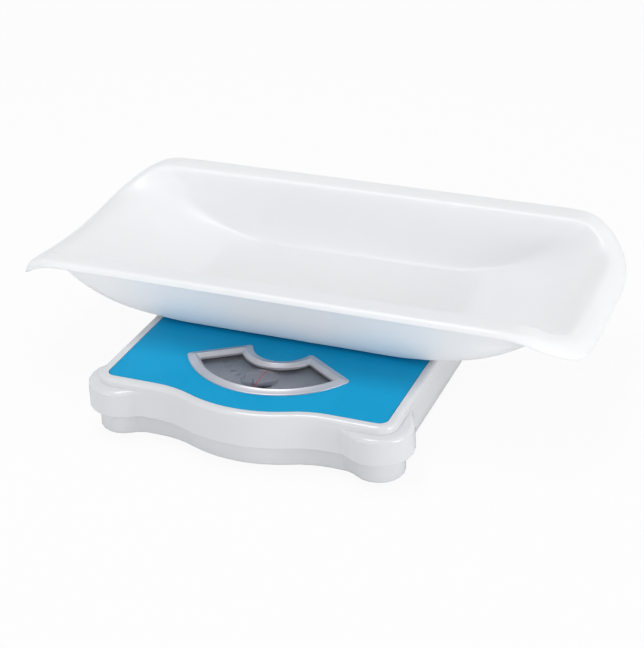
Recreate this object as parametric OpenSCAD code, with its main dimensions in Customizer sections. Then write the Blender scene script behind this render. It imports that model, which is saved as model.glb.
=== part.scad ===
// Mechanical baby weighing scale: a lever platform with a dial window, and a lift-off tray.
// The platform sinks a little under load. Two levers add up its four corners, a spring plate
// measures the sum, and a crank, rack and pinion turn the dial.

/* [Platform] */
// Width of the blue mat
mat_w = 260; // [250:1:280]
// Depth of the blue mat, front edge to rear edge
mat_d = 280; // [276:1:300]
// Thickness of the mat
mat_t = 1.8; // [1:0.1:2.5]
// Corner radius of the mat
mat_corner_r = 8; // [4:1:14]
// Height of the mat's top above the base shell's wall
mat_rise = 16; // [15:0.5:20]
// How far the front edge bulges forwards in the middle
bulge = 16.6; // [8:0.1:18]
// Radius of the front bulge
bulge_r = 115; // [105:1:130]
// Radius of the hollow beside the bulge
hollow_r = 86; // [80:1:95]
// Width of the white border around the mat
border = 9; // [7:0.5:12]
// Distance of a lobe's centre from the mat's side edges
lobe_side = 10.3; // [9:0.1:12]
// Distance of a lobe's centre from the mat's front and rear edges
lobe_front = 12.3; // [11:0.1:14]
// Radius of a lobe, without the border
lobe_r = 22; // [20:0.5:24]
// Radius of the neck between a lobe and the front
neck_r = 24; // [20:1:30]
// Radius of the hollow between a lobe and the sides or the rear
lobe_hollow_r = 39; // [36:1:44]
// Depth of a lobe's ledge below the mat
lobe_drop = 6.4; // [5:0.1:7]
// Height of the cover, from the mat's top to the skirt's edge
cover_h = 31.3; // [29:0.1:33]
// Wall of the cover
cover_t = 2.5; // [2:0.1:3]
// Height of the raised border above the mat
border_rise = 0.6; // [0.4:0.1:1.5]

/* [Base] */
// Set-back of the base's wall from the cover's skirt
base_inset = 8.2; // [7.5:0.1:10]
// Wall of the base shell
base_t = 2.4; // [2:0.1:3]
// Height of the base shell's wall, from its underside
base_h = 37; // [36:0.5:42]
// Height of a rubber foot under the base shell
foot_h = 3; // [2:0.5:5]
// Radius of a rubber foot
foot_r = 11; // [8:0.5:12]

/* [Window] */
// How far the dial's axis lies in front of the mat's middle
dial_front = 43.4; // [41:0.1:46]
// Inner radius of the window's opening
win_r_in = 39; // [36:0.5:42]
// Outer radius of the window's opening
win_r_out = 77; // [74:0.5:78]
// Half of the window's angle
win_angle = 56; // [45:0.5:58]
// Width of the bezel's frame
bezel_w = 10.5; // [9:0.1:11]
// Height of the bezel above the mat
bezel_rise = 3; // [2:0.1:4]
// Thickness of the lens
lens_t = 2; // [1.5:0.1:2.4]
// Radius of the dial disc
dial_r = 80; // [76:0.5:81]
// Thickness of the dial disc
dial_t = 0.8; // [0.5:0.1:1]

/* [Tray] */
// How far the tray's centre lies behind the mat's middle
tray_behind = 56.5; // [50:0.5:60]
// Half length of the tray's flat floor
floor_a = 138; // [120:1:150]
// Half width of the tray's flat floor
floor_b = 90; // [80:1:95]
// Corner radius of the floor
floor_r = 41; // [30:1:50]
// Half length inside the rim
rim_a = 257; // [230:1:270]
// Half width inside the rim
rim_b = 111; // [104:1:116]
// Corner radius of the rim
rim_r = 45; // [35:1:55]
// Height of the rim above the mat
rim_h = 67; // [60:1:75]
// Wall of the tray
tray_t = 3; // [2.4:0.1:4]
// Width of the rim's flat top along the long sides
rim_flat = 18; // [14:1:22]
// Radius of the rim's rolled edge along the long sides
rim_roll = 6; // [4:0.5:9]
// How far the rolled edge reaches out at the ends
end_roll = 13; // [10:0.5:16]
// How far the rolled edge turns down at the ends
end_drop = 16; // [10:0.5:20]
// How far the corners droop towards the ends
droop = 20; // [8:0.5:24]
// Distance from the centre at which the rim starts to droop
droop_from = 215; // [195:1:225]
// How far the end rims dip at mid width
end_dip = 11; // [4:0.5:16]
// Curve of the end ramps: 1 is straight, more is flatter near the floor
ramp_power = 2.2; // [1.4:0.1:2.8]
// Thickness of the rubber pads under the tray
pad_h = 2; // [1:0.5:4]
// Radius of the rubber pads under the tray
pad_r = 11; // [8:0.5:14]
// Distance of the pads from the tray's middle, along its length
pad_x = 100; // [80:1:105]
// Distance of the pads from the tray's middle, across it
pad_y = 60; // [50:1:66]

/* [Levers] */
// Distance of a lever's fulcrum from the mat's front or rear edge
fulcrum_y = 22; // [20:0.5:24]
// Distance from a fulcrum to its load pin
load_arm = 20; // [18:0.5:22]
// Distance of the lever pivots from the mat's side edges
pivot_in = 25; // [22:1:30]
// Radius of the lever pins
pin_r = 2; // [1.5:0.1:2.4]
// Width of a lever bar
bar_w = 5; // [4:0.5:6]
// Height of a lever bar
bar_h = 7; // [6:0.5:7.5]
// Height of the long lever's bars above the base's floor
lever_lift = 14.6; // [13.6:0.1:15.6]
// Height of the short lever's bars above the long lever's bars
lever_space = 2.5; // [2:0.1:3.5]
// Half of the distance between the long lever's bars at its nose
nose_x = 14; // [13:0.5:16]
// Travel of the platform at full load
press_travel = 0.8; // [0.5:0.05:0.8]
// Clearance of the short lever's hook around the long lever's cross bar
hook_gap = 1.4; // [1.2:0.1:1.8]
// Thickness of the hook, of the brackets' cheeks and of other bent sheet
sheet_t = 2; // [1.6:0.1:2.4]
// Length of the brackets that carry the lever pins
cradle_l = 12; // [10:0.5:14]

/* [Springs and zero] */
// Thickness of the spring plate
plate_t = 2.5; // [2:0.1:3]
// Distance of the main springs from the centre plane
spring_x = 23; // [22.5:0.5:26]
// Outer radius of the main springs
spring_r = 4.5; // [3.5:0.5:5]
// Outer radius of the cover springs
cover_spring_r = 3; // [2.5:0.1:4]
// Distance of the cover springs from the centre plane
cover_spring_x = 60; // [55:1:64]
// Distance of the cover springs from the mat's front or rear edge
cover_spring_y = 30; // [26:1:32]
// Wall of the spring tubes that stand for the coils
coil_t = 1.5; // [1:0.1:1.8]
// Radius of the zero knob
knob_r = 21; // [20:0.5:23]
// Thickness of the zero knob
knob_h = 5; // [4:0.5:6]
// How far the zero knob stands out of the base's rear wall
knob_out = 3.2; // [2:0.1:5]
// Radius of the adjusting screw
screw_r = 3; // [2.5:0.1:3.5]

/* [Dial drive] */
// Height of the free space between the dial disc and the cover
dial_room = 4.4; // [3.8:0.1:4.8]
// Width of the rack's bar
rack_w = 5; // [4:0.5:6]
// Thickness of the rack's bar
rack_t = 2.5; // [2:0.1:3]
// Pitch radius of the pinion
pinion_r = 2.2; // [2:0.05:2.3]
// Number of teeth of the pinion
pinion_teeth = 11; // [10:1:12]
// Radius of the dial's shaft
shaft_r = 1.5; // [1:0.1:1.6]
// Thickness of the crank's sheet
crank_t = 2.5; // [2:0.1:3]
// Radius of the crank's pin
crank_pin_r = 1.5; // [1:0.1:1.8]
// Height of the crank's pin above the base's floor
crank_lift = 14.1; // [13.6:0.1:14.6]
// Distance of the dial bridge's posts from the shaft
bridge_x = 30; // [26:1:36]
// Width of the dial bridge's straps
bridge_w = 14; // [10:0.5:18]
// Turn of the dial at full load, in degrees
dial_turn = 186; // [170:2:200]
// Clearance between pieces that move past each other
gap = 0.3; // [0.2:0.05:0.4]
// Running clearance of a shaft in its bearing
run_gap = 0.05; // [0.03:0.01:0.08]

/* [Hidden] */
$fn = 48;

// Heights above the ground
base_z = foot_h;                        // underside of the base shell
floor_z = base_z + base_t;              // top of the base's floor
base_top = base_z + base_h;             // top of the base's wall
mat_h = base_top + mat_rise;            // top of the mat
skirt_z = mat_h - cover_h;              // edge of the cover's skirt
recess_z = mat_h - mat_t;               // floor of the mat's recess
plate_z = recess_z - cover_t;           // underside of the cover's plate
lens_z = plate_z + gap / 2;             // underside of the lens

// Plan of the body: x from the centre plane, y from the mat's straight front edge
half_w = mat_w / 2;
bulge_c = [0, bulge_r - bulge];
hollow_x = sqrt(bulge * (2 * (bulge_r + hollow_r) - bulge));
hollow_c = [hollow_x, -hollow_r];
lobe_c = [half_w - lobe_side, lobe_front];
neck_c = [lobe_c[0] - sqrt(pow(lobe_r + neck_r, 2) - pow(lobe_front + neck_r, 2)), -neck_r];
side_reach = sqrt(pow(lobe_r + lobe_hollow_r, 2) - pow(lobe_side + lobe_hollow_r, 2));
rear_reach = sqrt(pow(lobe_r + lobe_hollow_r, 2) - pow(lobe_front + lobe_hollow_r, 2));
side_c = [half_w + lobe_hollow_r, lobe_front + side_reach];
rear_c = [lobe_c[0] - rear_reach, mat_d + lobe_hollow_r];
dial_y = mat_d / 2 - dial_front;
tray_y = mat_d / 2 + tray_behind;
pivot_x = half_w - pivot_in;
base_off = border - base_inset;         // offset of the base's wall from the mat's outline
body_front = bulge_c[1] - bulge_r - border;

// The tray, and the frame of the whole part: its origin is below the middle of its box
rim_flat_z = 0.5;                       // rise of the flat rim towards its edge
tray_half_l = rim_a + end_roll;
tray_half_w = rim_b + rim_flat + rim_roll;
tray_back = tray_y + tray_half_w;
origin_y = (body_front + tray_back) / 2;

// Zero knob and levers
rear_wall_y = mat_d + base_off;
knob_y = rear_wall_y + knob_out - knob_r;
nose_y = knob_y - knob_r - 6;
short_fulcrum_y = mat_d - fulcrum_y;
hook_y = mat_d / 2;
long_z = floor_z + lever_lift;          // underside of the long lever's bars
short_z = long_z + bar_h + lever_space; // underside of the short lever's bars
long_pin_z = long_z + bar_h / 2;
short_pin_z = short_z + bar_h / 2;
nose_drop = press_travel * (nose_y - fulcrum_y) / load_arm;
bend_y = nose_y - 40;                   // where the long lever's bars turn parallel
arm_y = load_arm + 10;                  // length of a lever's straight end
fork_in = bar_w / 2 + 2 * gap;          // half of the room between two cheeks

// Dial drive
dial_z = plate_z - dial_room - dial_t;  // underside of the dial disc
rack_z = dial_z - 4.5;                  // middle of the rack
rack_low = rack_z - rack_t / 2;
rack_travel = dial_turn * PI / 180 * pinion_r;
pitch = 2 * PI * pinion_r / pinion_teeth;
tooth_w = 0.3 * pitch;
tooth_out = 0.35;                       // height of a tooth over the pitch line
tooth_in = 0.5;                         // depth of the gap under the pitch line
rack_x = pinion_r + tooth_in;           // front face of the rack's bar
bridge_z = rack_low - gap - sheet_t;    // underside of the upper bearing strap
bearing_space = 8;                      // height from one bearing strap to the other

// Crank between the spring plate and the rack
plate_top = long_pin_z - pin_r - gap;   // the lever's nose pin rests here
crank_z = floor_z + crank_lift;
crank_x = rack_x + rack_w / 2;
crank_rise = rack_z - crank_z;
crank_turn = rack_travel / crank_rise;  // radians at full load
crank_arm = nose_drop / crank_turn;
plate_front = nose_y - 4.5;
crank_y = plate_front + 0.5 - crank_arm;
arm_top = plate_top - plate_t - 0.5 - crank_z;
crank_boss = 4;

// Spring bracket
yoke_z = rack_z + 3;                    // underside of the spring yoke
yoke_w = 5;
yoke_t = 2;
leg_x = spring_x + spring_r + 4;
knob_z = floor_z + 4;
foot_w = 8;                             // width of a bracket's foot beside its wall

function mirror_x(p) = [for (i = [len(p) - 1 : -1 : 0]) [-p[i][0], p[i][1]]];

// Points on an arc from angle a to angle b, n steps
function arc(c, r, a, b, n) =
    [for (i = [0 : n]) c + r * [cos(a + (b - a) * i / n), sin(a + (b - a) * i / n)]];

function mix(a, b, k) = a * (1 - k) + b * k;

// Right half of the body's outline, front to rear, offset outwards by o
function lobed_half(o) =
    let (beta = atan2(hollow_x, hollow_r + bulge_c[1]),
         gamma = atan2(lobe_c[1] - neck_c[1], lobe_c[0] - neck_c[0]),
         delta = atan2(side_reach, side_c[0] - lobe_c[0]),
         back = atan2(rear_reach, lobe_hollow_r + lobe_front))
    concat(
        arc(bulge_c, bulge_r + o, -90, -90 + beta, 6),
        arc(hollow_c, hollow_r - o, 90 + beta, 90, 4),
        arc(neck_c, neck_r - o, 90, gamma, 4),
        arc(lobe_c, lobe_r + o, gamma - 180, delta, 9),
        arc(side_c, lobe_hollow_r - o, delta + 180, 180, 4),
        arc([side_c[0], mat_d - side_c[1]], lobe_hollow_r - o, 180, 180 - delta, 4),
        arc([lobe_c[0], mat_d - lobe_c[1]], lobe_r + o, -delta, 90 + back, 9),
        arc(rear_c, lobe_hollow_r - o, back - 90, -90, 4));

// The same points without the lobes: the outline of the mat, offset by o
function plain_half(o) =
    let (beta = atan2(hollow_x, hollow_r + bulge_c[1]), c = mat_corner_r,
         far = mat_d - side_c[1])
    concat(
        arc(bulge_c, bulge_r + o, -90, -90 + beta, 6),
        arc(hollow_c, hollow_r - o, 90 + beta, 90, 4),
        [for (i = [0 : 4]) [mix(neck_c[0], half_w - c, i / 5), -o]],
        arc([half_w - c, c], c + o, -90, 0, 9),
        [for (i = [0 : 4]) [half_w + o, mix(c, side_c[1], (i + 1) / 5)]],
        [for (i = [0 : 4]) [half_w + o, mix(far, mat_d - c, i / 5)]],
        arc([half_w - c, mat_d - c], c + o, 0, 90, 9),
        [for (i = [0 : 4]) [mix(half_w - c, rear_c[0], (i + 1) / 5), mat_d + o]]);

// Whole outlines: k is 0 with the lobes and 1 without them
function half_ring(o, k) =
    let (a = lobed_half(o), b = plain_half(o)) [for (i = [0 : len(a) - 1]) mix(a[i], b[i], k)];
function ring(o, k) = let (h = half_ring(o, k))
    concat(h, mirror_x([for (i = [1 : len(h) - 1]) h[i]]));

// A closed solid through rings of 3-D points, each ring with the same number of points
module skin(rings) {
    n = len(rings[0]);
    last = len(rings) - 1;
    points = [for (r = rings) for (p = r) p];
    sides = [for (k = [0 : last - 1]) for (i = [0 : n - 1]) for (t = [0, 1])
        let (j = (i + 1) % n, a = k * n + i, b = k * n + j, c = b + n, d = a + n)
        t == 0 ? [a, d, b] : [b, d, c]];
    caps = [[for (i = [0 : n - 1]) i], [for (i = [n - 1 : -1 : 0]) last * n + i]];
    polyhedron(points, concat(sides, caps), convexity = 8);
}

function at_height(ring2, z) = [for (p = ring2) [p[0], p[1], z]];

// Piece of a ring around the dial's axis, as the window is cut, grown sideways by e
function sector_points(r_in, r_out, e, n = 20) =
    let (a = win_angle + asin(e / r_out), b = win_angle + asin(e / r_in))
    concat(arc([0, dial_y], r_out, -90 - a, -90 + a, n),
        arc([0, dial_y], r_in, -90 + b, -90 - b, n));

module sector(r_in, r_out, e, z, h) {
    translate([0, 0, z]) linear_extrude(h) polygon(sector_points(r_in, r_out, e));
}

// Everything is drawn in the body's plan and then moved to the part's origin
module placed() {
    translate([0, -origin_y, 0]) children();
}

module both_sides() {
    for (s = [-1, 1]) scale([s, 1, 1]) children();
}

module bar(a, b, w, h) {
    d = b - a;
    translate([a[0], a[1], 0]) rotate([0, 0, atan2(d[1], d[0])])
        translate([-w / 2, -w / 2, 0]) cube([norm(d) + w, w, h]);
}

module x_pin(x, y, z, r, l) {
    translate([x - l / 2, y, z]) rotate([0, 90, 0]) cylinder(r = r, h = l);
}

// ---------------------------------------------------------------- base

knob_slot_w = 2 * sqrt(pow(knob_r + 1, 2) - pow(rear_wall_y - base_t - knob_y, 2)) + 2;

module base_shell() color("white") placed() difference() {
    union() {
        difference() {
            translate([0, 0, base_z]) linear_extrude(base_h) polygon(ring(base_off, 0));
            translate([0, 0, floor_z]) linear_extrude(base_h) polygon(ring(base_off - base_t, 0));
        }
        for (x = [-1, 1], y = [cover_spring_y, mat_d - cover_spring_y])
            translate([x * cover_spring_x, y, base_z])
                cylinder(r = cover_spring_r + 2, h = base_t + 2);
    }
    screw_holes(1.5);
    for (x = [-1, 1], y = [lobe_c[1], mat_d - lobe_c[1]])
        translate([x * lobe_c[0], y, base_z - 1]) cylinder(r = foot_r + 0.1, h = 1 + base_t / 2);
    translate([-knob_slot_w / 2, rear_wall_y - base_t - 1, knob_z - 1])
        cube([knob_slot_w, base_t + 2, knob_h + 2]);
}

module rubber_feet() color("dimgray") placed()
    for (x = [-1, 1], y = [lobe_c[1], mat_d - lobe_c[1]])
        translate([x * lobe_c[0], y, 0]) {
            cylinder(r = foot_r - 1, h = 1);
            translate([0, 0, 0.8]) cylinder(r = foot_r, h = foot_h + base_t / 2 - 0.8);
        }

// A pair of cheeks with an open notch that a lever pin lies in
module cradle(y, pin_z) {
    difference() {
        union() {
            for (s = [-1, 1])
                translate([s * (fork_in + sheet_t / 2) - sheet_t / 2, y - cradle_l / 2, floor_z])
                    cube([sheet_t, cradle_l, pin_z + pin_r - floor_z]);
            translate([-fork_in - sheet_t, y - cradle_l / 2, floor_z])
                cube([2 * (fork_in + sheet_t), cradle_l, sheet_t]);
        }
        x_pin(0, y, pin_z, pin_r + gap, 30);
        translate([-15, y - pin_r - gap, pin_z]) cube([30, 2 * (pin_r + gap), 10]);
    }
}

module front_fulcrums() color("lightgray") placed()
    for (s = [-1, 1]) translate([s * pivot_x, 0, 0]) cradle(fulcrum_y, long_pin_z);

module rear_fulcrums() color("lightgray") placed()
    for (s = [-1, 1]) translate([s * pivot_x, 0, 0]) cradle(short_fulcrum_y, short_pin_z);

// ---------------------------------------------------------------- cover, mat and window

module platform_cover() color("white") placed() {
    ledge_z = mat_h - lobe_drop;
    outside = [
        at_height(ring(border, 0), skirt_z),
        at_height(ring(border - 0.1, 0), ledge_z - 4),
        at_height(ring(border - 0.15, 0.03), ledge_z - 2.6),
        at_height(ring(border - 0.2, 0.1), ledge_z - 1.5),
        at_height(ring(border - 0.25, 0.2), ledge_z - 0.7),
        at_height(ring(border - 0.3, 0.32), ledge_z - 0.3),
        at_height(ring(border - 0.35, 1), ledge_z),
        at_height(ring(border - 0.5, 1), mat_h + border_rise - 2.8),
        at_height(ring(border - 1.1, 1), mat_h + border_rise - 1.6),
        at_height(ring(border - 2, 1), mat_h + border_rise - 0.8),
        at_height(ring(border - 3.2, 1), mat_h + border_rise - 0.2),
        at_height(ring(border - 4.6, 1), mat_h + border_rise),
        at_height(ring(1.6, 1), mat_h + border_rise),
        at_height(ring(0.8, 1), mat_h + border_rise - 0.2),
        at_height(ring(0.4, 1), mat_h + border_rise - 0.5),
        at_height(ring(0.2, 1), recess_z)];
    inside = [
        at_height(ring(border - cover_t, 0), skirt_z),
        at_height(ring(border - 0.1 - cover_t, 0), ledge_z - cover_t - 2.5),
        at_height(ring(border - 0.25 - cover_t, 0.3), ledge_z - cover_t - 0.6),
        at_height(ring(border - 0.35 - cover_t, 1), ledge_z - cover_t),
        at_height(ring(border - 0.6 - cover_t, 1), plate_z)];
    rings = concat([for (i = [len(outside) - 1 : -1 : 0]) outside[i]], inside);
    difference() {
        skin(rings);
        sector(win_r_in - 5, win_r_out + 5, 5, plate_z - 1, cover_t + 2);
    }
}

module platform_mat() color("deepskyblue") placed() difference() {
    translate([0, 0, recess_z]) linear_extrude(mat_t) polygon(ring(-0.1, 1));
    sector(win_r_in - 5, win_r_out + 5, 5, recess_z - 1, mat_t + 2);
}

module window_bezel() color("silver") placed() difference() {
    union() {
        sector(win_r_in - bezel_w, win_r_out + bezel_w, bezel_w, mat_h, 1);
        sector(win_r_in - bezel_w + 1.2, win_r_out + bezel_w - 1.2, bezel_w - 1.2, mat_h + 1, 1.2);
        sector(win_r_in - bezel_w + 3.2, win_r_out + bezel_w - 3.2, bezel_w - 3.2,
            mat_h + 2.2, bezel_rise - 2.2);
        sector(win_r_in - 4.7, win_r_out + 4.7, 4.7, lens_z + lens_t, mat_h - lens_z - lens_t + 0.5);
    }
    sector(win_r_in, win_r_out, 0, lens_z, 10);
    sector(win_r_in - 2, win_r_out + 2, 2, mat_h + bezel_rise - 1, 2);
}

// The lens, with a low dome that magnifies the dial under the index line
dome_r = 17;
dome_h = 2;
module window_lens() color([0.8, 0.85, 0.9, 0.35]) placed() {
    sector(win_r_in - 4.7, win_r_out + 4.7, 4.7, lens_z, lens_t);
    ball_r = (dome_r * dome_r + dome_h * dome_h) / (2 * dome_h);
    translate([0, dial_y - (win_r_in + win_r_out) / 2 + 1, lens_z + lens_t]) rotate_extrude($fn = 64)
        polygon(concat([[0, 0]], [for (i = [0 : 8]) let (a = asin(dome_r / ball_r) * (1 - i / 8))
            [ball_r * sin(a), ball_r * cos(a) - ball_r + dome_h]]));
}

module index_line() color("red") placed()
    translate([-0.45, dial_y - win_r_out + 3, lens_z - 0.3])
        cube([0.9, win_r_out - win_r_in - 3, 0.3]);

// Forks that hang from the cover and sit on the levers' load pins
module load_fork(y, pin_z) {
    difference() {
        union() {
            for (s = [-1, 1])
                translate([s * (fork_in + sheet_t / 2) - sheet_t / 2, y - 5, pin_z - 1])
                    cube([sheet_t, 10, plate_z - pin_z + 1]);
            translate([-fork_in - sheet_t, y - 5, plate_z - sheet_t])
                cube([2 * (fork_in + sheet_t), 10, sheet_t]);
        }
        x_pin(0, y, pin_z, pin_r + gap, 30);
        translate([-15, y - pin_r - gap, pin_z - 5]) cube([30, 2 * (pin_r + gap), 5]);
    }
}

module load_brackets() color("lightgray") placed()
    for (s = [-1, 1]) translate([s * pivot_x, 0, 0]) {
        load_fork(fulcrum_y + load_arm, long_pin_z);
        load_fork(short_fulcrum_y - load_arm, short_pin_z);
    }

module spring_tube(r, z_low, z_high) {
    translate([0, 0, z_low]) difference() {
        cylinder(r = r, h = z_high - z_low);
        translate([0, 0, -1]) cylinder(r = r - coil_t, h = z_high - z_low + 2);
    }
}

module cover_springs() color("gray") placed()
    for (x = [-1, 1], y = [cover_spring_y, mat_d - cover_spring_y])
        translate([x * cover_spring_x, y, 0]) spring_tube(cover_spring_r, floor_z + 2, plate_z);

// ---------------------------------------------------------------- levers

module lever_pins(y, pin_z) {
    for (s = [-1, 1]) x_pin(s * pivot_x, y, pin_z, pin_r, 2 * (fork_in + sheet_t) + 0.8);
}

module long_lever() color("darkgray") placed() {
    knee_y = fulcrum_y + arm_y;
    cross_x = pivot_x - (pivot_x - nose_x) * (hook_y - knee_y) / (bend_y - knee_y);
    translate([0, 0, long_z]) both_sides() {
        bar([pivot_x, fulcrum_y - 5], [pivot_x, knee_y], bar_w, bar_h);
        bar([pivot_x, knee_y], [nose_x, bend_y], bar_w, bar_h);
        bar([nose_x, bend_y], [nose_x, nose_y + 4], bar_w, bar_h);
    }
    translate([-cross_x, hook_y - bar_w / 2, long_z]) cube([2 * cross_x, bar_w, bar_h]);
    lever_pins(fulcrum_y, long_pin_z);
    lever_pins(fulcrum_y + load_arm, long_pin_z);
    x_pin(0, nose_y, long_pin_z, pin_r, 2 * nose_x);
}

module short_lever() color("darkgray") placed() {
    hook_w = 12;
    root_y = hook_y + bar_w / 2 + 3.5;
    front = hook_y - bar_w / 2 - hook_gap - sheet_t;
    low = long_z - hook_gap - sheet_t;
    translate([0, 0, short_z]) both_sides() {
        bar([pivot_x, short_fulcrum_y + 5], [pivot_x, short_fulcrum_y - arm_y], bar_w, bar_h);
        bar([pivot_x, short_fulcrum_y - arm_y], [0, root_y], bar_w, bar_h);
    }
    lever_pins(short_fulcrum_y, short_pin_z);
    lever_pins(short_fulcrum_y - load_arm, short_pin_z);
    // Hook around the long lever's cross bar
    translate([-hook_w / 2, front, short_z]) cube([hook_w, root_y - front, sheet_t]);
    translate([-hook_w / 2, front, low]) cube([hook_w, sheet_t, short_z - low + sheet_t]);
    translate([-hook_w / 2, front, low]) cube([hook_w, bar_w + 2 * hook_gap + sheet_t, sheet_t]);
}

// ---------------------------------------------------------------- spring and zero

module spring_plate() color("lightgray") placed() {
    inner = nose_x - bar_w / 2 - 1;
    arm_in = crank_x + crank_t / 2 + 1;
    back = nose_y + 4;
    translate([-inner, plate_front, plate_top - plate_t]) cube([2 * inner, back - plate_front, plate_t]);
    for (s = [-1, 1]) {
        // Wings that pass under the lever's bars and carry the springs
        translate([s * spring_x, nose_y, plate_top - plate_t]) cylinder(r = spring_r, h = plate_t);
        translate([s > 0 ? arm_in : -spring_x, nose_y - 3.5, plate_top - 2 * plate_t])
            cube([spring_x - arm_in, 7, plate_t]);
        translate([s * spring_x, nose_y, plate_top - 2 * plate_t]) cylinder(r = 3.5, h = plate_t);
    }
}

module main_springs() color("gray") placed()
    for (s = [-1, 1]) translate([s * spring_x, nose_y, 0]) spring_tube(spring_r, plate_top, yoke_z);

module spring_bracket() color("lightgray") placed() difference() {
    for (s = [-1, 1]) {
        translate([s * leg_x - sheet_t / 2, nose_y - 6, floor_z])
            cube([sheet_t, 12, yoke_z + yoke_t + 2 - floor_z]);
        translate([s > 0 ? leg_x : -leg_x - foot_w, nose_y - 6, floor_z]) cube([foot_w, 12, sheet_t]);
    }
    // Slots that guide the yoke's ends
    for (s = [-1, 1]) translate([s * leg_x - sheet_t, nose_y - yoke_w / 2 - gap, yoke_z - 2])
        cube([2 * sheet_t, yoke_w + 2 * gap, 10]);
    screw_holes(1);
}

module adjusting_screw() color("silver") placed() {
    reach = leg_x + sheet_t / 2 + 1.5;
    // Yoke whose ends run in the bracket's slots, and its arm back to the screw
    translate([-reach, nose_y - yoke_w / 2, yoke_z]) cube([2 * reach, yoke_w, yoke_t]);
    translate([-4, nose_y, yoke_z]) cube([8, knob_y - nose_y, yoke_t]);
    translate([0, knob_y, floor_z + 2]) cylinder(r = screw_r, h = yoke_z + yoke_t - floor_z - 2);
    translate([0, knob_y, yoke_z]) cylinder(r = 2 * screw_r, h = yoke_t);
}

module zero_knob() color("whitesmoke") placed() translate([0, knob_y, knob_z]) difference() {
    union() {
        cylinder(r = knob_r, h = knob_h);
        cylinder(r = 2 * screw_r + 1, h = knob_h + 5);
        translate([0, 0, floor_z - knob_z]) cylinder(r = 2 * screw_r, h = knob_z - floor_z);
    }
    translate([0, 0, floor_z - knob_z - 1]) cylinder(r = screw_r + run_gap, h = 40);
    for (i = [0 : 35]) rotate([0, 0, i * 10]) translate([knob_r + 0.5, 0, -1])
        cylinder(r = 1.2, h = knob_h + 2, $fn = 16);
}

// ---------------------------------------------------------------- crank, rack and dial

module bell_crank() color("lightgray") placed() difference() {
    union() {
        x_pin(crank_x, crank_y, crank_z, crank_boss, crank_t + 2);
        translate([crank_x - crank_t / 2, crank_y - 1.25, crank_z])
            cube([crank_t, 2.5, crank_rise + 5]);
        translate([crank_x - crank_t / 2, crank_y, crank_z + arm_top - 2.6])
            cube([crank_t, crank_arm + 2, 2.6]);
    }
    x_pin(crank_x, crank_y, crank_z, crank_pin_r + run_gap, 20);
}

cheek_x = crank_t / 2 + 1 + gap;
module crank_bracket() color("lightgray") placed() difference() {
    union() {
        for (s = [-1, 1]) translate([crank_x + s * (cheek_x + sheet_t / 2) - sheet_t / 2,
            crank_y - 5, floor_z]) cube([sheet_t, 10, crank_lift + crank_boss]);
        translate([crank_x - cheek_x - sheet_t - foot_w, crank_y - 5, floor_z])
            cube([2 * (cheek_x + sheet_t + foot_w), 10, sheet_t]);
    }
    x_pin(crank_x, crank_y, crank_z, crank_pin_r, 30);
    screw_holes(1);
}

module crank_pin() color("silver") placed()
    x_pin(crank_x, crank_y, crank_z, crank_pin_r, 2 * (cheek_x + sheet_t) + 2);

rack_front = dial_y - rack_travel - 6;
slot_front = crank_y - 2.4;             // the slot that the crank's tip runs in
slot_back = crank_y + 4.8;

module rack() color("lightgray") placed() translate([0, 0, rack_low]) {
    slot_w = crank_t + 1;
    difference() {
        union() {
            translate([rack_x, rack_front, 0]) cube([rack_w, slot_back - rack_front, rack_t]);
            translate([crank_x - slot_w / 2 - 2, slot_front - 4, 0])
                cube([slot_w + 4, slot_back - slot_front + 6.5, rack_t]);
        }
        translate([crank_x - slot_w / 2, slot_front, -1])
            cube([slot_w, slot_back - slot_front, rack_t + 2]);
    }
    for (i = [0 : ceil((rack_travel + 6) / pitch) - 1])
        translate([rack_x, dial_y - (i - 1.5) * pitch, 0]) linear_extrude(rack_t)
            polygon([[0.2, -tooth_w * 0.6], [0.2, tooth_w * 0.6],
                [-tooth_in - tooth_out, tooth_w / 2], [-tooth_in - tooth_out, -tooth_w / 2]]);
}

module dial_bridge() color("lightgray") placed() difference() {
    union() {
        for (s = [-1, 1]) {
            translate([s * bridge_x - sheet_t / 2, dial_y - bridge_w / 2, floor_z])
                cube([sheet_t, bridge_w, bridge_z + sheet_t - floor_z]);
            translate([s > 0 ? bridge_x : -bridge_x - foot_w, dial_y - bridge_w / 2, floor_z])
                cube([foot_w, bridge_w, sheet_t]);
        }
        for (z = [bridge_z, bridge_z - bearing_space])
            translate([-bridge_x, dial_y - bridge_w / 2, z]) cube([2 * bridge_x, bridge_w, sheet_t]);
    }
    translate([0, dial_y, bridge_z - bearing_space - 1])
        cylinder(r = shaft_r + run_gap, h = bearing_space + sheet_t + 2);
    screw_holes(1);
}

module rack_guide() color("ivory") placed() {
    x = rack_x + rack_w + gap;
    translate([x, dial_y - bridge_w / 2, bridge_z + sheet_t]) cube([3, bridge_w, rack_t + 2 * gap + 0.2]);
    translate([x - 2, dial_y - bridge_w / 2, rack_z + rack_t / 2 + gap]) cube([5, bridge_w, 1.2]);
}

// Outline of the pinion, tooth by tooth
root_r = pinion_r - tooth_in + 0.05;
pinion_points = [for (i = [0 : pinion_teeth - 1]) let (a = i * 360 / pinion_teeth)
    for (q = [[sqrt(root_r * root_r - tooth_w * tooth_w / 4), -1], [pinion_r + tooth_out, -1],
        [pinion_r + tooth_out, 1], [sqrt(root_r * root_r - tooth_w * tooth_w / 4), 1]])
    q[0] * [cos(a), sin(a)] + q[1] * tooth_w / 2 * [-sin(a), cos(a)]];

module dial_shaft() color("goldenrod") placed() translate([0, dial_y, 0]) {
    low = bridge_z - bearing_space - 1.2;
    translate([0, 0, low]) cylinder(r = shaft_r, h = dial_z + dial_t + 2 - low);
    translate([0, 0, low - 0.8]) cylinder(r = shaft_r + 1, h = 1.7);
    translate([0, 0, rack_low]) linear_extrude(rack_t + gap) polygon(pinion_points);
}

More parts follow.
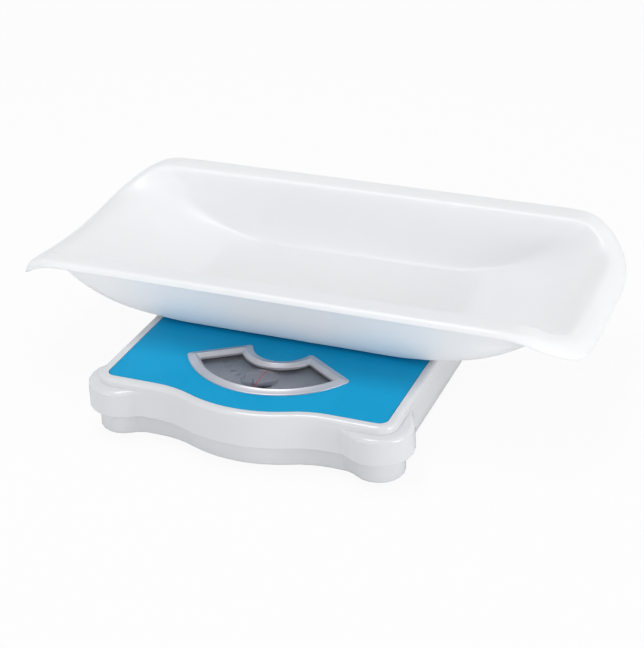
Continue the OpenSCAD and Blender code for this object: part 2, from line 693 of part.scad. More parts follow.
module dial_hub() color("goldenrod") placed() translate([0, dial_y, 0]) difference() {
    union() {
        translate([0, 0, dial_z - 1.5]) cylinder(r = 7, h = 1.5);
        translate([0, 0, dial_z - 1]) cylinder(r = 3, h = dial_t + 2.2);
    }
    translate([0, 0, dial_z - 5]) cylinder(r = shaft_r, h = 10);
}

module dial_disc() color("lightgray") placed() translate([0, dial_y, dial_z]) difference() {
    cylinder(r = dial_r, h = dial_t, $fn = 120);
    translate([0, 0, -1]) cylinder(r = 3, h = dial_t + 2);
}

// Places of the screws that hold the brackets' feet
screw_places = concat(
    [for (s = [-1, 1]) [s * (bridge_x + foot_w / 2 + 0.6), dial_y]],
    [for (s = [-1, 1]) [s * (leg_x + foot_w / 2 + 0.6), nose_y]],
    [for (s = [-1, 1]) [crank_x + s * (cheek_x + sheet_t + foot_w / 2 + 0.4), crank_y]]);
shank_r = 1.2;
shank_l = 1.5;

module screw_holes(depth) {
    for (p = screw_places) translate([p[0], p[1], floor_z - depth])
        cylinder(r = shank_r, h = depth + sheet_t + 1);
}

module mechanism_screws() color("silver") placed()
    for (p = screw_places) translate([p[0], p[1], floor_z]) {
        translate([0, 0, sheet_t]) cylinder(r = 2.6, h = 1.6);
        translate([0, 0, -shank_l]) cylinder(r = shank_r, h = shank_l + sheet_t + 0.5);
    }

// ---------------------------------------------------------------- tray

function smooth(k) = let (c = min(1, max(0, k))) c * c * (3 - 2 * c);

// A rounded rectangle as [x, y, x part and y part of the outward direction]
corner_steps = 7;
long_steps = 14;
end_steps = 7;
function quarter(a, b, r, q) =
    let (sx = [1, -1, -1, 1][q], sy = [1, 1, -1, -1][q],
         along_x = q == 0 || q == 2, steps = along_x ? long_steps : end_steps,
         c = [sx * (a - r), sy * (b - r)], t = 90 * (q + 1),
         d = [along_x ? -2 * sx * (a - r) : 0, along_x ? 0 : -2 * sy * (b - r)])
    concat(
        [for (i = [0 : corner_steps]) let (u = 90 * (q + i / corner_steps))
            [c[0] + r * cos(u), c[1] + r * sin(u), cos(u), sin(u)]],
        [for (i = [1 : steps - 1]) [c[0] + r * cos(t) + d[0] * i / steps,
            c[1] + r * sin(t) + d[1] * i / steps, cos(t), sin(t)]]);
function rounded_rect(a, b, r) = [for (q = [0 : 3]) for (p = quarter(a, b, r, q)) p];

// Lowering of the rim towards the ends, and at mid width of the ends
function sag(x, y) =
    -droop * smooth((abs(x) - droop_from) / (tray_half_l - droop_from))
    - end_dip * smooth(abs(x) / rim_a) * max(0, 1 - pow(y / rim_b, 2));

// One ring of the basin's wall, s from 0 at the floor to 1 at the rim, moved inwards by t
function basin_ring(s, t, z0) =
    let (a = floor_a + (rim_a - floor_a) * pow(s, 1 / ramp_power) - t,
         b = rim_b - (rim_b - floor_b) * pow(1 - s, 3) - t,
         r = mix(floor_r, rim_r, s) - t)
    [for (p = rounded_rect(a, b, r))
        [p[0], p[1], mix(z0, rim_h, s) + sag(p[0], p[1]) * s * s]];

// One ring of the rim: out and down are [long side, end], measured from the rim's inner edge
function rim_ring(out, down) =
    [for (p = rounded_rect(rim_a - tray_t, rim_b - tray_t, rim_r - tray_t))
        let (e = p[2] * p[2], o = mix(out[0], out[1], e),
             x = p[0] + p[2] * o, y = p[1] + p[3] * o)
        [x, y, rim_h - mix(down[0], down[1], e) + sag(x, y)]];

function rolled(u, t) =
    let (flat = [rim_flat + tray_t, tray_t], roll = [rim_roll, end_roll],
         drop = [rim_roll, end_drop])
    rim_ring([flat[0] + (roll[0] - t) * sin(u), flat[1] + (roll[1] - t) * sin(u)],
        [t - rim_flat_z + (drop[0] - t) * (1 - cos(u)), t + (drop[1] - t) * (1 - cos(u))]);

module tray() color("white") placed() translate([0, tray_y, mat_h]) {
    wall_steps = 7;
    under = 2.6;
    outside = [for (i = [0 : wall_steps]) basin_ring(0.93 * i / wall_steps, 0, pad_h)];
    below_rim = [
        rim_ring([tray_t + 1.5, tray_t + 0.5], [under + 0.4, under + 2]),
        rim_ring([tray_t + rim_flat / 2, tray_t + 0.8], [under, under + 1.2]),
        for (u = [0 : 22.5 : 90]) rolled(u, under)];
    above_rim = [
        for (u = [90 : -18 : 0]) rolled(u, 0),
        rim_ring([rim_flat / 2 + tray_t, tray_t / 2], [0, 0]),
        rim_ring([1.6, 0.9], [0.3, 0.1])];
    inside = [for (i = [wall_steps : -1 : 0]) basin_ring(0.97 * i / wall_steps, tray_t, pad_h + tray_t)];
    skin(concat(outside, below_rim, above_rim, inside));
}

module tray_pads() color("dimgray") placed() translate([0, tray_y, mat_h])
    for (x = [-1, 1], y = [-1, 1])
        translate([x * pad_x, y * pad_y, 0]) cylinder(r = pad_r, h = pad_h);

base_shell();
rubber_feet();
front_fulcrums();
rear_fulcrums();
dial_bridge();
rack_guide();
crank_bracket();
crank_pin();
spring_bracket();
mechanism_screws();
cover_springs();
platform_cover();
platform_mat();
window_bezel();
window_lens();
index_line();
load_brackets();
long_lever();
short_lever();
spring_plate();
main_springs();
bell_crank();
rack();
dial_shaft();
dial_hub();
dial_disc();
adjusting_screw();
zero_knob();
tray();
tray_pads();
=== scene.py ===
import math

import bpy
from mathutils import Matrix, Vector


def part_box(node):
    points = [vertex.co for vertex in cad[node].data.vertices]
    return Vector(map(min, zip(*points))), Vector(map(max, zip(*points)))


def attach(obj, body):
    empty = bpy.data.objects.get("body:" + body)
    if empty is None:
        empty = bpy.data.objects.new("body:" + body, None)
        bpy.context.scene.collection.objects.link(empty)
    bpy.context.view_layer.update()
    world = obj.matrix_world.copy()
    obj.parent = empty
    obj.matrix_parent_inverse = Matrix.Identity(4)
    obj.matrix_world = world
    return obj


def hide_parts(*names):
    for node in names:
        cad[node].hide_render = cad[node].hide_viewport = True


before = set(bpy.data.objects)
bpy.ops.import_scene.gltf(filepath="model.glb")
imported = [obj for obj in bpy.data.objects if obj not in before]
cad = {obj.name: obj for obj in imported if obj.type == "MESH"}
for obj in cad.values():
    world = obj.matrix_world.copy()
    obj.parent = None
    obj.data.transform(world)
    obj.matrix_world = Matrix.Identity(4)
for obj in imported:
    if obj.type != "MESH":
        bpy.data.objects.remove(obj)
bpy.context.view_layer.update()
bpy.ops.object.select_all(action="DESELECT")


# ---------------------------------------------------------------- base shell
# The tub that stands on the ground: white ABS, injection moulded in one piece with a lobe at each
# corner and a flat floor. The mould rounds its edges, and its skin is glossy with a shallow
# orange peel.
def select_only(piece):
    bpy.ops.object.select_all(action="DESELECT")
    bpy.context.view_layer.objects.active = piece
    piece.select_set(True)


def moulded_from(node, name):
    """A piece with a CAD node's form, its triangles merged into a closed skin of quads."""
    piece = bpy.data.objects.new(name, cad[node].data.copy())
    bpy.context.scene.collection.objects.link(piece)
    piece.data.materials.clear()
    select_only(piece)
    bpy.ops.object.mode_set(mode="EDIT")
    bpy.ops.mesh.select_all(action="SELECT")
    bpy.ops.mesh.remove_doubles(threshold=0.00001)
    bpy.ops.mesh.tris_convert_to_quads(face_threshold=math.radians(40),
                                       shape_threshold=math.radians(60))
    bpy.ops.mesh.customdata_custom_splitnormals_clear()
    bpy.ops.object.mode_set(mode="OBJECT")
    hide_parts(node)
    return piece


def flats_dissolved(piece):
    """Joins the faces of each flat wall into one."""
    select_only(piece)
    bpy.ops.object.mode_set(mode="EDIT")
    bpy.ops.mesh.select_all(action="SELECT")
    bpy.ops.mesh.dissolve_limited(angle_limit=math.radians(1))
    bpy.ops.object.mode_set(mode="OBJECT")


def edges_rounded(piece, radius, steps, wanted):
    """Bevels the edges for which wanted(first end, second end) is true."""
    select_only(piece)
    bpy.context.tool_settings.mesh_select_mode = (False, True, False)
    bpy.ops.object.mode_set(mode="EDIT")
    bpy.ops.mesh.select_all(action="DESELECT")
    bpy.ops.object.mode_set(mode="OBJECT")
    points = [v.co for v in piece.data.vertices]
    for edge in piece.data.edges:
        edge.select = wanted(points[edge.vertices[0]], points[edge.vertices[1]])
    bpy.ops.object.mode_set(mode="EDIT")
    bpy.ops.mesh.bevel(offset=radius, segments=steps, profile=0.5, clamp_overlap=True)
    bpy.ops.object.mode_set(mode="OBJECT")


def smooth_shaded(piece, degrees, flats_kept=True):
    """Smooth shading up to that angle, with the flats' shading kept flat."""
    select_only(piece)
    bpy.ops.object.shade_smooth_by_angle(angle=math.radians(degrees))
    if flats_kept:
        bpy.ops.object.modifier_add(type="WEIGHTED_NORMAL")
        piece.modifiers[-1].keep_sharp = True
        bpy.ops.object.modifier_apply(modifier=piece.modifiers[-1].name)


def new_finish(name):
    """A new material, its node tree and its shader."""
    material = bpy.data.materials.new(name)
    material.use_nodes = True
    return material, material.node_tree, material.node_tree.nodes["Principled BSDF"]


def noise_on(tree, scale, detail=3.0, stretch=(1, 1, 1)):
    """Noise on Object coordinates, its scale in features to the metre."""
    place = tree.nodes.new("ShaderNodeTexCoord")
    turn = tree.nodes.new("ShaderNodeMapping")
    turn.inputs["Scale"].default_value = stretch
    noise = tree.nodes.new("ShaderNodeTexNoise")
    noise.inputs["Scale"].default_value = scale
    noise.inputs["Detail"].default_value = detail
    tree.links.new(place.outputs["Object"], turn.inputs["Vector"])
    tree.links.new(turn.outputs["Vector"], noise.inputs["Vector"])
    return noise.outputs["Fac"]


def colour_between(tree, shader, factor, low, high):
    """A base colour that drifts from low to high with the noise."""
    ramp = tree.nodes.new("ShaderNodeValToRGB")
    ramp.color_ramp.elements[0].position = 0.3
    ramp.color_ramp.elements[0].color = (*low, 1)
    ramp.color_ramp.elements[1].position = 0.7
    ramp.color_ramp.elements[1].color = (*high, 1)
    tree.links.new(factor, ramp.inputs["Fac"])
    tree.links.new(ramp.outputs["Color"], shader.inputs["Base Color"])


def roughness_between(tree, shader, factor, low, high):
    """A roughness that drifts from low to high with the noise."""
    scaled = tree.nodes.new("ShaderNodeMapRange")
    scaled.inputs["To Min"].default_value = low
    scaled.inputs["To Max"].default_value = high
    tree.links.new(factor, scaled.inputs["Value"])
    tree.links.new(scaled.outputs["Result"], shader.inputs["Roughness"])


def bumped(tree, shader, factor, strength, depth):
    """A bump of that depth in metres."""
    bump = tree.nodes.new("ShaderNodeBump")
    bump.inputs["Strength"].default_value = strength
    bump.inputs["Distance"].default_value = depth
    tree.links.new(factor, bump.inputs["Height"])
    tree.links.new(bump.outputs["Normal"], shader.inputs["Normal"])


shell_white, tree, shader = new_finish("shell_white_abs")
colour_between(tree, shader, noise_on(tree, 22), (0.715, 0.723, 0.740), (0.737, 0.745, 0.761))
roughness_between(tree, shader, noise_on(tree, 60), 0.15, 0.24)
bumped(tree, shader, noise_on(tree, 420, 2.0), 0.10, 0.00005)
shader.inputs["Coat Weight"].default_value = 0.25
shader.inputs["Coat Roughness"].default_value = 0.12

base_tub = moulded_from("base_shell", "base_tub")
flats_dissolved(base_tub)
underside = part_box("base_shell")[0].z
lobe_x, lobe_front, lobe_rear = 0.1197, -0.14065, 0.11475
pocket_reach = 0.0125
flat_within = 0.0001


def on_underside(a, b):
    """An edge round the tub's floor, apart from the pockets of the feet."""
    at_foot = any(math.hypot(abs(p.x) - lobe_x, p.y - y) < pocket_reach
                  for p in (a, b) for y in (lobe_front, lobe_rear))
    at_floor = all(abs(p.z - underside) < flat_within for p in (a, b))
    return at_floor and not at_foot


edges_rounded(base_tub, 0.0020, 4, on_underside)
smooth_shaded(base_tub, 34)
base_tub.data.materials.append(shell_white)
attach(base_tub, "base")

# ---------------------------------------------------------------- rubber feet
# Four pads of black moulded rubber, pressed into pockets under the corner lobes. They are matt,
# with a faint grain and a rounded lower edge.
rubber, tree, shader = new_finish("black_rubber")
colour_between(tree, shader, noise_on(tree, 300), (0.018, 0.018, 0.019), (0.034, 0.034, 0.036))
roughness_between(tree, shader, noise_on(tree, 150), 0.72, 0.88)
bumped(tree, shader, noise_on(tree, 2600, 2.0), 0.35, 0.0001)

feet = moulded_from("rubber_feet", "foot_pads")
foot_edge = 0.0012
flats_dissolved(feet)
edges_rounded(feet, 0.0006, 3, lambda a, b: max(a.z, b.z) < foot_edge)
smooth_shaded(feet, 34)
feet.data.materials.append(rubber)
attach(feet, "base")

# ---------------------------------------------------------------- brackets, levers and screws
# Zinc plated steel: brackets and plates stamped from sheet, levers cut from flat bar, and pins
# and screws turned from rod. Rolling leaves fine streaks along the sheet, and the plating has a
# slightly blotched, blue-grey shine.
zinc_steel, tree, shader = new_finish("zinc_plated_steel")
colour_between(tree, shader, noise_on(tree, 90, 5.0), (0.42, 0.43, 0.45), (0.56, 0.57, 0.60))
roughness_between(tree, shader, noise_on(tree, 500, 4.0, (1, 0.04, 1)), 0.28, 0.46)
bumped(tree, shader, noise_on(tree, 1800, 3.0, (1, 0.03, 1)), 0.2, 0.00004)
shader.inputs["Metallic"].default_value = 0.95


def finish_node(node, material):
    """A CAD node keeps its mesh and gets this material."""
    cad[node].data.materials.clear()
    cad[node].data.materials.append(material)


for node in ("front_fulcrums", "rear_fulcrums", "load_brackets", "dial_bridge", "crank_bracket",
             "crank_pin", "spring_bracket", "mechanism_screws", "long_lever", "short_lever",
             "spring_plate", "bell_crank", "rack"):
    finish_node(node, zinc_steel)

# ---------------------------------------------------------------- springs
# Music wire, wound cold and oiled: dark grey, with the bright lines that drawing leaves along it.
# The pieces in the frame are the sleeves that the coils fill.
spring_wire, tree, shader = new_finish("spring_wire")
colour_between(tree, shader, noise_on(tree, 700, 3.0, (1, 1, 6)), (0.16, 0.16, 0.17),
               (0.33, 0.33, 0.35))
roughness_between(tree, shader, noise_on(tree, 900), 0.30, 0.42)
bumped(tree, shader, noise_on(tree, 650, 1.0, (0.05, 0.05, 1)), 0.8, 0.0008)
shader.inputs["Metallic"].default_value = 0.9
for node in ("main_springs", "cover_springs"):
    finish_node(node, spring_wire)

# ---------------------------------------------------------------- dial shaft, hub and rack guide
# The shaft with its pinion and the hub are turned from free-cutting brass, which keeps the fine
# rings of the tool. The guide that holds the rack to the pinion is a plain acetal moulding.
turned_brass, tree, shader = new_finish("turned_brass")
colour_between(tree, shader, noise_on(tree, 200), (0.55, 0.40, 0.15), (0.68, 0.52, 0.22))
roughness_between(tree, shader, noise_on(tree, 400), 0.22, 0.34)
bumped(tree, shader, noise_on(tree, 2500, 2.0, (0.02, 0.02, 1)), 0.25, 0.00005)
shader.inputs["Metallic"].default_value = 1.0
for node in ("dial_shaft", "dial_hub"):
    finish_node(node, turned_brass)

acetal, tree, shader = new_finish("natural_acetal")
colour_between(tree, shader, noise_on(tree, 120), (0.74, 0.73, 0.68), (0.80, 0.79, 0.74))
roughness_between(tree, shader, noise_on(tree, 300), 0.38, 0.50)
bumped(tree, shader, noise_on(tree, 1500, 2.0), 0.15, 0.00004)
finish_node("rack_guide", acetal)

# ---------------------------------------------------------------- zero knob and its screw
# A knurled thumbwheel of white ABS stands out of the rear wall, and turns the steel screw that
# the springs hang from. Its rim is cut with grooves for the finger.
knob = moulded_from("zero_knob", "zero_wheel")
flats_dissolved(knob)
smooth_shaded(knob, 30)
knob.data.materials.append(shell_white)
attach(knob, "zero_knob")
finish_node("adjusting_screw", zinc_steel)

# ---------------------------------------------------------------- dial
# A flat disc of sheet aluminium, with a mark for each hundred grams, a longer one for each half
# kilogram and a number for each kilogram. It is fixed to the hub and turns under the window; at
# rest its zero stands under the index line. Its dark grey colour is painted shade for the well
# under the window.
dial_centre = Vector((0, -0.05635, 0))
dial_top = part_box("dial_disc")[1].z
kilogram = math.radians(9.3)
print_height = 0.00006
marks_outer = 0.0675
numbers_at, digit_size, two_digit_size = 0.0545, 0.0090, 0.0072

# The dial's dark grey is painted shade: the pale face is darkened to stand for the shade under the
# window.
dial_painted_shade, tree, shader = new_finish("dial_darkened_as_painted_shade")
colour_between(tree, shader, noise_on(tree, 45), (0.165, 0.173, 0.205), (0.200, 0.208, 0.240))
roughness_between(tree, shader, noise_on(tree, 250), 0.45, 0.60)
bumped(tree, shader, noise_on(tree, 2200, 2.0), 0.2, 0.00003)
finish_node("dial_disc", dial_painted_shade)

ink_black, tree, shader = new_finish("black_ink")
colour_between(tree, shader, noise_on(tree, 3000), (0.008, 0.009, 0.014), (0.016, 0.017, 0.024))
roughness_between(tree, shader, noise_on(tree, 1500), 0.45, 0.60)
ink_red, tree, shader = new_finish("red_ink")
colour_between(tree, shader, noise_on(tree, 3000), (0.42, 0.012, 0.016), (0.50, 0.022, 0.024))
roughness_between(tree, shader, noise_on(tree, 1500), 0.40, 0.55)


def printed_marks(name, step, count, inner, width, ink):
    """Equal marks round the dial, from zero clockwise: one small block, spun round as copies."""
    bpy.ops.object.select_all(action="DESELECT")
    bpy.ops.mesh.primitive_cube_add(size=1, location=(0, 0, 0))
    marks = bpy.context.object
    marks.name = name
    bpy.ops.object.mode_set(mode="EDIT")
    bpy.ops.transform.resize(value=(width, marks_outer - inner, print_height))
    bpy.ops.transform.translate(value=(0, dial_centre.y - (inner + marks_outer) / 2,
                                       dial_top + print_height / 2))
    bpy.ops.mesh.spin(steps=count, dupli=True, angle=-step * count, center=dial_centre,
                      axis=(0, 0, 1))
    bpy.ops.object.mode_set(mode="OBJECT")
    marks.data.materials.append(ink)
    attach(marks, "dial")


printed_marks("hundred_gram_marks", kilogram / 10, 200, 0.0640, 0.00030, ink_red)
printed_marks("half_kilogram_marks", kilogram / 2, 40, 0.0630, 0.00045, ink_red)
printed_marks("kilogram_marks", kilogram, 20, 0.0615, 0.00065, ink_black)


def printed_number(text, angle, size):
    """A number that stands upright to a reader in front of the window."""
    bpy.ops.object.select_all(action="DESELECT")
    bpy.ops.object.text_add(location=(0, 0, 0))
    number = bpy.context.object
    number.data.body = text
    number.data.size = size
    number.data.align_x = "CENTER"
    number.data.align_y = "CENTER"
    number.data.extrude = print_height / 2
    number.data.resolution_u = 4
    bpy.ops.object.convert(target="MESH")
    number = bpy.context.object
    printed_at = dial_centre + Vector((0, 0, dial_top + print_height / 2))
    number.data.transform(Matrix.Translation(printed_at) @ Matrix.Rotation(angle, 4, "Z")
                          @ Matrix.Translation((0, -numbers_at, 0)))
    number.data.materials.append(ink_black)
    return number


numbers = [printed_number(str(n), -n * kilogram, digit_size if n < 10 else two_digit_size)
           for n in range(21)]
bpy.ops.object.select_all(action="DESELECT")
for number in numbers:
    number.select_set(True)
bpy.context.view_layer.objects.active = numbers[0]
bpy.ops.object.join()
dial_numbers = bpy.context.object
dial_numbers.name = "dial_numbers"
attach(dial_numbers, "dial")

# ---------------------------------------------------------------- platform cover
# The top shell that moves with the load: white ABS like the base, moulded in one piece. Its skirt
# follows the lobes, a ledge lies round each corner, and a raised border frames the mat's recess.
cover = moulded_from("platform_cover", "cover_shell")
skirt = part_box("platform_cover")[0].z
edges_rounded(cover, 0.0006, 3, lambda a, b: max(a.z, b.z) < skirt + flat_within)
smooth_shaded(cover, 38)
cover.data.materials.append(shell_white)
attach(cover, "platform")

# ---------------------------------------------------------------- mat
# A sheet of cyan PVC, die cut and glued into the recess of the cover. It is a matt satin, with a
# very fine grain and a slightly rounded upper edge.
mat_blue, tree, shader = new_finish("cyan_mat")
colour_between(tree, shader, noise_on(tree, 14, 4.0), (0.002, 0.335, 0.625), (0.004, 0.365, 0.665))
roughness_between(tree, shader, noise_on(tree, 120), 0.42, 0.50)
shader.inputs["Specular IOR Level"].default_value = 0.08
bumped(tree, shader, noise_on(tree, 2400, 2.0), 0.20, 0.00004)
mat = moulded_from("platform_mat", "mat_sheet")
flats_dissolved(mat)
mat_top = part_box("platform_mat")[1].z
edges_rounded(mat, 0.0004, 2, lambda a, b: min(a.z, b.z) > mat_top - flat_within)
smooth_shaded(mat, 34)
mat.data.materials.append(mat_blue)
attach(mat, "platform")

# ---------------------------------------------------------------- window frame
# A frame of ABS with a satin silver lacquer, snapped through the mat into the cover. From its
# rounded outer edge it rises to a ridge, and falls in a bright bevel to the glass.
window_inner, window_outer, window_angle = 0.039, 0.077, math.radians(56)


def window_ring(grow, corner, height):
    """The window's outline, grown by grow and with rounded corners, at a height over the mat."""
    outward = Vector((math.cos(window_angle), math.sin(window_angle)))
    along = Vector((math.sin(window_angle), -math.cos(window_angle)))
    half = []

    def arc(centre, radius, start, end, steps):
        turn = (end - start + math.pi) % (2 * math.pi) - math.pi
        for i in range(steps + 1):
            a = start + turn * i / steps
            half.append(Vector((centre.x + radius * math.cos(a), centre.y + radius * math.sin(a))))

    aside = grow - corner
    far = math.sqrt((window_outer + aside) ** 2 - aside ** 2) * along + aside * outward
    reach = window_inner - grow + corner
    near = math.sqrt(reach ** 2 - aside ** 2) * along + aside * outward
    to_far, to_near = math.atan2(far.y, far.x), math.atan2(near.y, near.x)
    square = math.atan2(outward.y, outward.x)
    arc(Vector((0, 0)), window_outer + grow, -math.pi / 2, to_far, 26)
    half.pop()
    arc(far, corner, to_far, square, 7)
    side = half[-1]
    arc(near, corner, square, to_near + math.pi, 7)
    half.pop()
    arc(Vector((0, 0)), window_inner - grow, to_near, -math.pi / 2, 18)
    ring = half + [Vector((-p.x, p.y)) for p in reversed(half[1:-1])]
    return [Vector((p.x, p.y + dial_centre.y, mat_top + height)) for p in ring]


def skinned(name, rings, closed):
    """A skin of quads from ring to ring, each ring taken anticlockwise as seen from above.

    A closed one goes up its outer side and down its inner side. An open one goes up, and gets a
    flat cap at each end.
    """
    count = len(rings[0])
    last = len(rings) if closed else len(rings) - 1
    faces = []
    for k in range(last):
        low, high = k * count, (k + 1) % len(rings) * count
        faces += [(low + i, low + (i + 1) % count, high + (i + 1) % count, high + i)
                  for i in range(count)]
    if not closed:
        faces.append(tuple(reversed(range(count))))
        faces.append(tuple(range(last * count, (last + 1) * count)))
    mesh = bpy.data.meshes.new(name)
    mesh.from_pydata([tuple(p) for ring in rings for p in ring], [], faces)
    piece = bpy.data.objects.new(name, mesh)
    bpy.context.scene.collection.objects.link(piece)
    return piece


silver, tree, shader = new_finish("silver_lacquer")
colour_between(tree, shader, noise_on(tree, 60, 4.0), (0.58, 0.575, 0.62), (0.64, 0.635, 0.68))
roughness_between(tree, shader, noise_on(tree, 900), 0.28, 0.36)
bumped(tree, shader, noise_on(tree, 5200, 2.0), 0.10, 0.00002)
shader.inputs["Metallic"].default_value = 0.75
shader.inputs["Coat Weight"].default_value = 0.3
shader.inputs["Coat Roughness"].default_value = 0.2

# Rings of the frame's section, in mm: how far outside the opening, corner radius, height.
frame_rings = [(10.5, 3.4, 0.0), (10.5, 3.4, 0.7), (10.4, 3.3, 1.0), (10.1, 3.1, 1.2),
               (9.8, 2.9, 1.27), (6.5, 2.1, 2.0), (4.4, 1.4, 2.75), (4.1, 1.3, 2.93),
               (3.7, 1.25, 3.0), (3.3, 1.2, 2.93), (3.0, 1.15, 2.75), (1.0, 0.8, 0.9),
               (0.4, 0.6, 0.3), (0.15, 0.5, 0.0), (0.1, 0.5, -0.3), (0.1, 0.5, -2.1),
               (4.6, 2.0, -2.1), (4.6, 2.0, 0.0)]
bezel = skinned("window_frame", [window_ring(g / 1000, c / 1000, z / 1000)
                                 for g, c, z in frame_rings], True)
smooth_shaded(bezel, 40)
bezel.data.materials.append(silver)
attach(bezel, "platform")
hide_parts("window_bezel")

# ---------------------------------------------------------------- window glass and index line
# The glass is moulded in clear acrylic, lightly smoked, with a low round lens on it over the
# index. The index is a red line printed on its underside.
smoked, tree, shader = new_finish("smoked_acrylic")
shader.inputs["Base Color"].default_value = (0.80, 0.82, 0.86, 1)
roughness_between(tree, shader, noise_on(tree, 300), 0.01, 0.04)
shader.inputs["IOR"].default_value = 1.38
shader.inputs["Transmission Weight"].default_value = 1.0

glass_rings = [(4.3, 2.0, -4.15), (4.6, 2.2, -3.9), (4.6, 2.2, -2.4), (4.3, 2.0, -2.15)]
glass = skinned("window_glass", [window_ring(g / 1000, c / 1000, z / 1000)
                                 for g, c, z in glass_rings], False)
glass_top = mat_top - 0.00215
lens_radius, lens_rise, lens_from_axis, lens_rooted = 0.017, 0.0026, 0.057, 0.00045
ball = (lens_radius ** 2 + lens_rise ** 2) / (2 * lens_rise)
lens_at = Vector((0, dial_centre.y - lens_from_axis, glass_top + lens_rise - ball))
bpy.ops.object.select_all(action="DESELECT")
bpy.ops.mesh.primitive_uv_sphere_add(segments=96, ring_count=150, radius=ball)
lens = bpy.context.object
lens.data.transform(Matrix.Translation(lens_at))
bpy.ops.object.mode_set(mode="EDIT")
bpy.ops.mesh.select_all(action="SELECT")
bpy.ops.mesh.bisect(plane_co=(0, 0, glass_top - lens_rooted), plane_no=(0, 0, 1), use_fill=True,
                    clear_inner=True)
bpy.ops.object.mode_set(mode="OBJECT")
select_only(glass)
bpy.ops.object.modifier_add(type="BOOLEAN")
glass.modifiers[-1].operation = "UNION"
glass.modifiers[-1].object = lens
bpy.ops.object.modifier_apply(modifier=glass.modifiers[-1].name)
bpy.data.objects.remove(lens)
smooth_shaded(glass, 7, False)
glass.data.materials.append(smoked)
glass.visible_shadow = False
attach(glass, "platform")
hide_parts("window_lens")
finish_node("index_line", ink_red)

# ---------------------------------------------------------------- tray pads
# Four discs of the same black rubber as the feet, glued to the tray's underside. They rest on the
# mat and keep the tray from sliding.
pads = moulded_from("tray_pads", "tray_rests")
flats_dissolved(pads)
smooth_shaded(pads, 34)
pads.data.materials.append(rubber)
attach(pads, "tray")

# ---------------------------------------------------------------- tray
# The basin that takes the load: one moulding of white polypropylene, satin and a little
# translucent. Its floor runs up into long ramps at the ends, and the rim is flat along the sides
# and rolled down all round.
tray_white, tree, shader = new_finish("tray_white_polypropylene")
colour_between(tree, shader, noise_on(tree, 9, 2.0), (0.880, 0.885, 0.897), (0.898, 0.903, 0.914))
roughness_between(tree, shader, noise_on(tree, 40), 0.30, 0.40)
bumped(tree, shader, noise_on(tree, 500, 2.0), 0.10, 0.00005)
shader.inputs["Subsurface Weight"].default_value = 0.6
shader.inputs["Subsurface Radius"].default_value = (1.0, 1.0, 1.0)
shader.inputs["Subsurface Scale"].default_value = 0.005

tray = moulded_from("tray", "tray_basin")
tray_low, tray_wall, floor_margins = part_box("tray")[0].z, 0.003, (0.004, 0.030)
for level in (tray_low, tray_low + tray_wall):
    bpy.context.tool_settings.mesh_select_mode = (False, False, True)
    bpy.ops.object.mode_set(mode="EDIT")
    bpy.ops.mesh.select_all(action="DESELECT")
    bpy.ops.object.mode_set(mode="OBJECT")
    for face in tray.data.polygons:
        face.select = all(abs(tray.data.vertices[v].co.z - level) < flat_within
                          for v in face.vertices)
    bpy.ops.object.mode_set(mode="EDIT")
    bpy.ops.mesh.dissolve_faces()
    for margin in floor_margins:
        bpy.ops.mesh.inset(thickness=margin)
    bpy.ops.object.mode_set(mode="OBJECT")
select_only(tray)
bpy.ops.object.modifier_add(type="SUBSURF")
tray.modifiers[-1].levels = 2
tray.modifiers[-1].render_levels = 2
bpy.ops.object.modifier_apply(modifier=tray.modifiers[-1].name)
smooth_shaded(tray, 60, False)
tray.data.materials.append(tray_white)
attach(tray, "tray")

# ---------------------------------------------------------------- floor, light and camera
# A wide pale table top and a white surround. A soft light hangs over the scale, a weaker one
# stands low in front at the left, and a third one stands low at the right.
bpy.ops.object.select_all(action="DESELECT")
bpy.ops.mesh.primitive_plane_add(size=14)
floor = bpy.context.object
floor.name = "table_top"
pale, tree, shader = new_finish("pale_table_top")
shader.inputs["Base Color"].default_value = (0.82, 0.82, 0.82, 1)
shader.inputs["Roughness"].default_value = 0.9
shader.inputs["Specular IOR Level"].default_value = 0.1
path = tree.nodes.new("ShaderNodeLightPath")
white = tree.nodes.new("ShaderNodeEmission")
white.inputs["Color"].default_value = (1, 1, 1, 1)
seen = tree.nodes.new("ShaderNodeMath")
seen.operation = "MULTIPLY"
seen.inputs[1].default_value = 0.93
either = tree.nodes.new("ShaderNodeMath")
either.operation = "MAXIMUM"
blend = tree.nodes.new("ShaderNodeMixShader")
tree.links.new(path.outputs["Is Camera Ray"], either.inputs[0])
tree.links.new(path.outputs["Is Transmission Ray"], either.inputs[1])
tree.links.new(either.outputs["Value"], seen.inputs[0])
tree.links.new(seen.outputs["Value"], blend.inputs["Fac"])
tree.links.new(shader.outputs["BSDF"], blend.inputs[1])
tree.links.new(white.outputs["Emission"], blend.inputs[2])
tree.links.new(blend.outputs["Shader"], tree.nodes["Material Output"].inputs["Surface"])
floor.data.materials.append(pale)

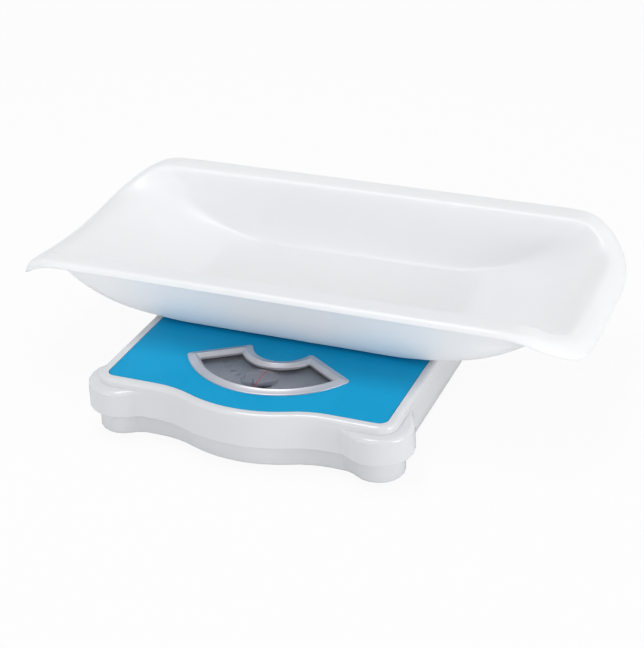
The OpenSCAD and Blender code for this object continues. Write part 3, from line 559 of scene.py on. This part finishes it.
world = bpy.data.worlds.new("studio")
bpy.context.scene.world = world
world.use_nodes = True
sky = world.node_tree
around = sky.nodes["Background"]
around.inputs["Color"].default_value = (0.97, 0.985, 1.0, 1)
around.inputs["Strength"].default_value = 0.62
backdrop = sky.nodes.new("ShaderNodeBackground")
backdrop.inputs["Color"].default_value = (1, 1, 1, 1)
backdrop.inputs["Strength"].default_value = 1.0
path = sky.nodes.new("ShaderNodeLightPath")
either = sky.nodes.new("ShaderNodeMath")
either.operation = "MAXIMUM"
blend = sky.nodes.new("ShaderNodeMixShader")
sky.links.new(path.outputs["Is Camera Ray"], either.inputs[0])
sky.links.new(path.outputs["Is Transmission Ray"], either.inputs[1])
sky.links.new(either.outputs["Value"], blend.inputs["Fac"])
sky.links.new(around.outputs["Background"], blend.inputs[1])
sky.links.new(backdrop.outputs["Background"], blend.inputs[2])
sky.links.new(blend.outputs["Shader"], sky.nodes["World Output"].inputs["Surface"])


def softbox(name, place, aim, width, height, power):
    """A rectangular soft lamp of that power in watts, turned towards its aim."""
    lamp = bpy.data.lights.new(name, "AREA")
    lamp.shape = "RECTANGLE"
    lamp.size = width
    lamp.size_y = height
    lamp.energy = power
    box = bpy.data.objects.new(name, lamp)
    bpy.context.scene.collection.objects.link(box)
    box.location = place
    box.rotation_euler = (Vector(aim) - Vector(place)).to_track_quat("-Z", "Y").to_euler()


softbox("softbox_overhead", (-0.35, -0.1, 1.9), (0, 0, 0.05), 1.0, 0.6, 11)
softbox("softbox_front", (-0.9, -1.7, 0.2), (0, 0, 0.05), 1.2, 0.4, 6)
softbox("softbox_right", (1.9, -0.5, 0.25), (0, 0, 0.05), 1.0, 0.5, 14)

bpy.ops.object.camera_add()
camera = bpy.context.object
azimuth, elevation, roll = math.radians(22.2526), math.radians(27.8245), math.radians(-1.56)
distance, focal_pixels, long_side = 1.527536, 1659.24, 648
back = Vector((math.sin(azimuth) * math.cos(elevation), -math.cos(azimuth) * math.cos(elevation),
               math.sin(elevation)))
level = Vector((math.cos(azimuth), math.sin(azimuth), 0))
rise = back.cross(level)
right = math.cos(roll) * level + math.sin(roll) * rise
up = -math.sin(roll) * level + math.cos(roll) * rise
aim = Vector((0.0152576, 0.1484874 - 0.15295, 0.056))
camera.matrix_world = Matrix.Translation(aim + distance * back) @ Matrix(
    (right, up, back)).transposed().to_4x4()
camera.data.sensor_width = 36
camera.data.lens = focal_pixels * 36 / long_side
bpy.context.scene.camera = camera
bpy.context.scene.view_settings.view_transform = "Standard"
